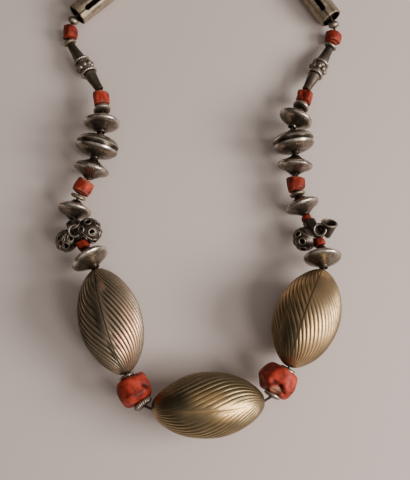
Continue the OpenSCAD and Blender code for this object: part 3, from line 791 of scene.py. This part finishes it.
# Openwork beads
# Clusters of hollow pierced balls and open cups, soldered to a hub. The solids of the part stay and
# are blackened silver. Wire rims round the holes and cups and a few stray wires are added.

# Shape, place right of the string, up and along it, direction and lean of its hole, and diameter.
OPENWORK = {
    "openwork_left": [("ball", 3.7, 0.3, -1.7, 77, -38, 8), ("ball", -3.95, -1, -1, 113, 8, 7),
                      ("cup", -0.4, 2.8, -0.9, 92, -25, 4.2), ("cup", 0.4, 2.4, 1.4, 100, 32, 4.2)],
    "openwork_right": [("cup", 5, 2.6, -1, 62, 28, 5.2), ("cup", 1.3, 2.6, -1.8, 103, -20, 4.2),
                       ("ball", -3.5, -0.8, -1.4, 175, 0, 7.4)],
}
# Radius of a hole, the angle between the outer hole and the six round it, and the wires.
PIERCED_R, PIERCED_LEAN = 0.9, np.radians(55)
RIM_WIRE_MM, CUP_WIRE_MM, LACE_WIRES = 0.26, 0.36, 5


def wire_hoop(centre, axis, hoop_r, wire_r, sides=28):
    """A ring of wire: c + (R + r cos b)(cos a p + sin a q) - r sin b axis."""
    axis = unit(axis)
    p = unit(np.cross(axis, [0.3, 0.8, 0.52]))
    q = np.cross(axis, p)
    a, b = circle(sides)[..., None], -circle(8).T[..., None]
    return centre + (hoop_r + wire_r * np.cos(b)) * (np.cos(a) * p + np.sin(a) * q) \
        - wire_r * np.sin(b) * axis


def lobe_axes(direction, lean):
    """The lobe's own x, y and z in the bead's axes; z points from the hub to the lobe."""
    d, t = np.radians(direction), np.radians(lean)
    z = np.array([np.cos(t) * np.sin(d), np.cos(t) * np.cos(d), np.sin(t)])
    y = np.array([-np.cos(d), np.sin(d), 0])
    return np.array([np.cross(y, z), y, z])


def even_marks(grids, dark=0.0, bright=0.0):
    """The same tarnish and rub all over some grids."""
    even = [np.zeros(g.shape[:2]) for g in grids]
    return {"groove": even, "seam": even, "dark": [e + dark for e in even],
            "bright": [e + bright for e in even]}


dice = np.random.default_rng(7)
for name, lobes in OPENWORK.items():
    length = places[name][2]
    hoops = []
    for kind, right, up, along, direction, lean, d in lobes:
        x, y, z = lobe_axes(direction, lean)
        centre = np.array([up, right, length / 2 + along])
        if kind == "cup":
            hoops.append(wire_hoop(centre, z, d / 2 - 0.25, CUP_WIRE_MM))
            continue
        high = np.sqrt(d * d / 4 - PIERCED_R**2)
        ways = [z] + [np.sin(PIERCED_LEAN) * (np.cos(t) * x + np.sin(t) * y)
                      + np.cos(PIERCED_LEAN) * z for t in np.arange(6) * np.pi / 3]
        hoops += [wire_hoop(centre + w * high, w, PIERCED_R + 0.15,
                            RIM_WIRE_MM * dice.uniform(0.7, 1.3)) for w in ways]
        for w in dice.normal(size=(LACE_WIRES, 3)):
            off = dice.uniform(-0.6, 0.6) * d / 2
            hoops.append(wire_hoop(centre + unit(w) * off, w, np.sqrt(d * d / 4 - off**2),
                                   RIM_WIRE_MM * dice.uniform(0.5, 0.9), 48))
    piece(name + "_rims", [], [into_place(name, h) for h in hoops], oxidised_silver,
          even_marks(hoops, dark=0.22, bright=0.45))

# Silver left to blacken on the pierced balls, whose dirt lies in soft clouds, not in marks.
blackened_silver = worked_silver(
    "blackened_openwork_silver", "#5e554b", "#a89d90", "#191612", "#0b0908", 0.26, clouds=0.7,
    dents=0.35)
for name in OPENWORK:
    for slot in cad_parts[name].material_slots:
        slot.material = blackened_silver

# Spindles
# A slim bead in each strand: two trumpets of sheet silver joined by a drum, which carries a ring of
# large grains between two ropes of twisted wire.

# Smooth sheet silver, handled but not polished: an even grey-brown with a soft sheen.
drawn_silver = worked_silver("smooth_grey_silver", "#82786b", "#cdc3b6", "#3f382e", "#15120e", 0.26)
GRAIN_D, GRAINS = 2.1, 8
# The ropes: half their width, their share cut in between the turns, and the turns round the bead.
ROPE_R, ROPE_CUT, ROPE_WINDS = 0.4, 0.22, 13
for name in ("spindle_left", "spindle_right"):
    length, width = places[name][2:]
    drum = width / 2 - GRAIN_D * 0.6
    half = [(0, COLLAR_R, 0.15), (0.04 * length, COLLAR_R, 0.3), (0.14 * length, COLLAR_R * 1.1, 1),
            (0.25 * length, width * 0.29, 1.5), (0.34 * length, drum, 0.3),
            (0.36 * length, drum, 0.2), (0.4 * length, drum, 0.3)]
    a, b = circle(120), -circle(12).T
    r = ROPE_R * (1 - ROPE_CUT * (1 - np.abs(np.sin(b + ROPE_WINDS * a))))
    ropes = [turned(width / 2 - 0.75 + r * np.cos(b), a, share * length - r * np.sin(b))
             for share in (0.372, 0.628)]
    turned_bead(name, "trumpets", half + mirrored(half, length), drawn_silver, 0.04, 7,
                columns=72, step=0.4, lines=[(0.36 * length, 0.4), (0.64 * length, 0.4)],
                rubbed_and_highlit=[(0.5 * length, 0.16 * length)], extra=ropes)
    polar = np.linspace(np.pi, 0, 11)[:, None]
    dot = turned(np.sin(polar), circle(16), np.cos(polar)) * GRAIN_D / 2
    grains = [dot + middle for middle in turned(width / 2 - GRAIN_D / 2, circle(GRAINS)[0], length / 2)]
    piece(name + "_grains", [], [into_place(name, g) for g in grains], oxidised_silver,
          even_marks(grains, dark=0.15, bright=0.35), ring=False, poles=True)

# Long tubes
# At the end of each strand a tube rolled from silver sheet, its seam left open in a long slot. Its
# inside is painted near-black green, as shade. A drilled disc closes each end, and one rivet hole
# is punched beside the slot near the front end.

TUBE_WALL, SLOT_WIDTH, SLOT_END, DISC_INSET = 0.8, 2.4, 4, 1.6
# Half the gap left in the closed part of the seam, as an angle.
CLOSED_GAP = 0.004
# The rivet hole: its radius, its place from the front end, degrees from the seam's middle, and how
# many cells of the grid it reaches to each side.
RIVET_R, RIVET_INSET, RIVET_SIDE, RIVET_CELLS = 0.55, 7.5, 38, 2
TUBE_ROWS, TUBE_COLUMNS, TUBE_CROWDING = 150, 80, 0.25


def rolled_tube(name, slot_turn, rivet_turn):
    """Outside R and inside R - wall, both from slot edge to slot edge, joined over rounded lips."""
    length, width = places[name][2:]
    z = (crowded(TUBE_ROWS, TUBE_CROWDING) * 0.5 + 0.5) * length
    # The slot's share of its full width: a half circle at its ends, and all of it between them.
    half_slot = SLOT_WIDTH / 2
    into_slot = np.clip(np.minimum(z, length - z) - SLOT_END + half_slot, 0, half_slot)
    open_by = np.sqrt(np.clip(1 - (1 - into_slot / half_slot) ** 2, 0, 1))
    gap = (CLOSED_GAP + np.arcsin(SLOT_WIDTH / width) * open_by)[:, None]
    t = np.linspace(0, 1, TUBE_COLUMNS)[None, :]
    middle_r, half_wall = width / 2 - TUBE_WALL / 2, TUBE_WALL / 2
    outer = gap + t * (2 * np.pi - 2 * gap)
    lip = np.linspace(0, np.pi, 9)[None, 1:-1]
    # The wall's half thickness h runs out at both mouths in a quarter circle, which closes the rims.
    end = np.clip((half_wall - np.minimum(z, length - z)) / half_wall, 0, 1)[:, None]
    half = half_wall * np.sqrt(np.clip(1 - end**2, 0, 1))
    # The lip is a half circle across the wall: middle radius + h cos, angle + h sin / radius.
    slotted = open_by[:, None]
    far_lip = 2 * np.pi - gap + half * np.sin(lip) / middle_r * slotted
    near_lip = gap - half * np.sin(lip) / middle_r * slotted
    angle = np.concatenate([outer, far_lip, outer[:, ::-1], near_lip], 1)
    radius = middle_r + np.concatenate([half + 0 * t, half * np.cos(lip),
                                        0 * t - half, -half * np.cos(lip)], 1)
    # Rolled by hand, it isn't quite round.
    radius = radius + 0.05 * np.sin(3 * angle + 0.21 * z[:, None]) \
        + 0.04 * np.sin(0.5 * z[:, None] + 2 * angle)
    # The corners round the rivet hole move onto a circle, in the outer and the inner wall alike.
    across, height = angle.copy(), z[:, None] + 0 * angle
    row, column = np.argmin(np.abs(z - RIVET_INSET)), np.argmin(np.abs(outer[0] - rivet_turn))
    i0, i1, j0, j1 = row - RIVET_CELLS, row + RIVET_CELLS, column - RIVET_CELLS, column + RIVET_CELLS
    rim = [(i0, j) for j in range(j0, j1)] + [(i, j1) for i in range(i0, i1)] \
        + [(i1, j) for j in range(j1, j0, -1)] + [(i, j0) for i in range(i1, i0, -1)]
    behind = angle.shape[1] - lip.shape[1] - 1
    for i, j in rim:
        off = unit([(outer[i, j] - rivet_turn) * width / 2, z[i] - RIVET_INSET])
        for k in (j, behind - j):
            across[i, k] = rivet_turn + off[0] * RIVET_R / (width / 2)
            height[i, k] = RIVET_INSET + off[1] * RIVET_R
    columns = angle.shape[1]
    block = [i * columns + j for i in range(i0, i1) for j in range(j0, j1)]
    block += [i * columns + behind - j - 1 for i in range(i0, i1) for j in range(j0, j1)]
    wall = [[i * columns + j, i2 * columns + j2, i2 * columns + behind - j2, i * columns + behind - j]
            for (i, j), (i2, j2) in zip(rim, rim[1:] + rim[:1])]
    # The inner wall is painted fully dark and the lips partly, as shade inside the tube.
    inside = np.concatenate([0 * outer, 0 * far_lip + 0.4, 0 * outer + 1, 0 * near_lip + 0.4], 1)
    from_seam = np.minimum(angle % (2 * np.pi), 2 * np.pi - angle % (2 * np.pi))
    closed_seam = 0.8 * np.exp(-(from_seam / 0.09) ** 2) * (1 - slotted)
    stained = 0.35 * np.exp(-((from_seam - 0.6) / 0.12) ** 2)
    lips = np.concatenate([np.exp(-(np.minimum(t, 1 - t) / 0.03) ** 2) * slotted,
                           0 * far_lip + slotted, 0 * outer, 0 * near_lip + slotted], 1)
    marks = {"groove": [0 * angle], "seam": [closed_seam], "dark": [np.maximum(inside, stained)],
             "bright": [lips * 0.7]}
    piece(name + "_sheet", [name], [into_place(name, turned(radius, across + slot_turn, height))],
          rolled_silver, marks, ring=False, poles=True, hole=(block, wall))


# Rolled sheet silver: paler and smoother than the beads outside; its near-black green paints the
# shade inside.
rolled_silver = worked_silver(
    "rolled_sheet_silver", "#b0a28c", "#d8ccb8", "#5a5040", "#10130d", 0.58, clouds=0.5,
    dents=0.15, cloud_mm=2.0)
for name, slot_turn, rivet_side in (("tube_left", 30, -RIVET_SIDE), ("tube_right", -26, RIVET_SIDE)):
    rolled_tube(name, np.radians(slot_turn), np.radians(rivet_side % 360))
    length, width = places[name][2:]
    discs = []
    for z in (DISC_INSET, length - DISC_INSET - TUBE_WALL):
        rows = filled(eased([(z, BORE_R, 0.1), (z, width / 2 - TUBE_WALL, 0.1),
                             (z + TUBE_WALL, width / 2 - TUBE_WALL, 0.1),
                             (z + TUBE_WALL, BORE_R, 0.1)]), 0.5)
        discs.append(into_place(name, turned(rows[:, 1:], circle(64), rows[:, :1])))
    piece(name + "_ends", [], discs, oxidised_silver, even_marks(discs))

# Table, light and camera
# A plain pale matt table, lit by a broad soft lamp low on the right, a smaller one further in front
# and the weak light of a room.

TABLE_M = 1.6
table_mesh = bpy.data.meshes.new("table")
table_mesh.from_pydata([(x * TABLE_M, y * TABLE_M, 0) for x, y in ((-1, -1), (1, -1), (1, 1), (-1, 1))],
                       [], [(0, 1, 2, 3)])
new_object("table", table_mesh)
# Matt painted board: an even warm grey without gloss.
MOTTLES_PER_M = 12
painted_board, tree, where = new_material("matt_painted_board")
mottle = add(tree, "TexNoise", {"Vector": where, "Scale": MOTTLES_PER_M, "Detail": 2.0})
tone = add(tree, "Mix", {"Factor": mottle, "A": linear("#cdc3bd"), "B": linear("#d1c7c1")}, **IN_COLOUR)
shader = add(tree, "BsdfPrincipled", {"Base Color": tone, "Roughness": 0.85})
add(tree, "OutputMaterial", {"Surface": shader})
table_mesh.materials.append(painted_board)

# The room is brightest overhead and on the right, and dark behind the left strand.
ROOM_BRIGHT_WAY = (0.45, -0.25, 0.86)
world = bpy.data.worlds.new("room")
bpy.context.scene.world = world
world.use_nodes = True
tree = world.node_tree
tree.nodes.clear()
way = add(tree, "TexCoord", out="Generated")
toward = add(tree, "VectorMath", {0: way, 1: ROOM_BRIGHT_WAY}, out="Value", operation="DOT_PRODUCT")
lit = add(tree, "MapRange", {"Value": toward, "From Min": -0.1, "From Max": 1.0},
          interpolation_type="SMOOTHSTEP")
room = add(tree, "Mix", {"Factor": lit, "A": linear("#3d332c"), "B": linear("#cdc4bd")}, **IN_COLOUR)
sky = add(tree, "Background", {"Color": room, "Strength": 0.74})
add(tree, "OutputWorld", {"Surface": sky})

# Both lamps stand this far from the middle of the table and give a slightly warm light.
LAMP_M, LAMP_TINT = 0.62, "#fff4ee"


def lamp(name, azimuth, elevation, size, power):
    """An area lamp that faces the necklace from an azimuth (0 is +X, 90 is +Y) and an elevation."""
    az, el = np.radians(azimuth), np.radians(elevation)
    way = np.array([np.cos(el) * np.cos(az), np.cos(el) * np.sin(az), np.sin(el)])
    light = bpy.data.lights.new(name, "AREA")
    light.shape = "RECTANGLE"
    light.size, light.size_y = size
    light.energy = power
    light.color = linear(LAMP_TINT)[:3]
    held = new_object(name, light)
    held.location = Vector(way * LAMP_M)
    held.rotation_euler = Vector(way).to_track_quat("Z", "Y").to_euler()


lamp("window", -17, 30, (0.36, 0.22), 4.9)
lamp("far_window", -50, 44, (0.18, 0.16), 1.0)

# The camera stands where the photograph was taken from: 75 degrees above the table, 277 mm away.
LOOK_AT_MM = np.array([1.158, -27.856, 0])
CAMERA_ELEVATION, CAMERA_MM, FOCAL_PX, FRAME_PX = 75, 277, 850, 480
SENSOR_MM = 24
camera = bpy.data.cameras.new("photo_camera")
camera.sensor_fit = "VERTICAL"
camera.sensor_height = SENSOR_MM
camera.lens = SENSOR_MM * FOCAL_PX / FRAME_PX
camera.clip_start = 0.01
viewer = new_object("photo_camera", camera)
tilt = np.radians(CAMERA_ELEVATION)
viewer.location = ((LOOK_AT_MM + CAMERA_MM * np.array([0, -np.cos(tilt), np.sin(tilt)])) * MM).tolist()
viewer.rotation_euler = (np.pi / 2 - tilt, 0, 0)
bpy.context.scene.camera = viewer
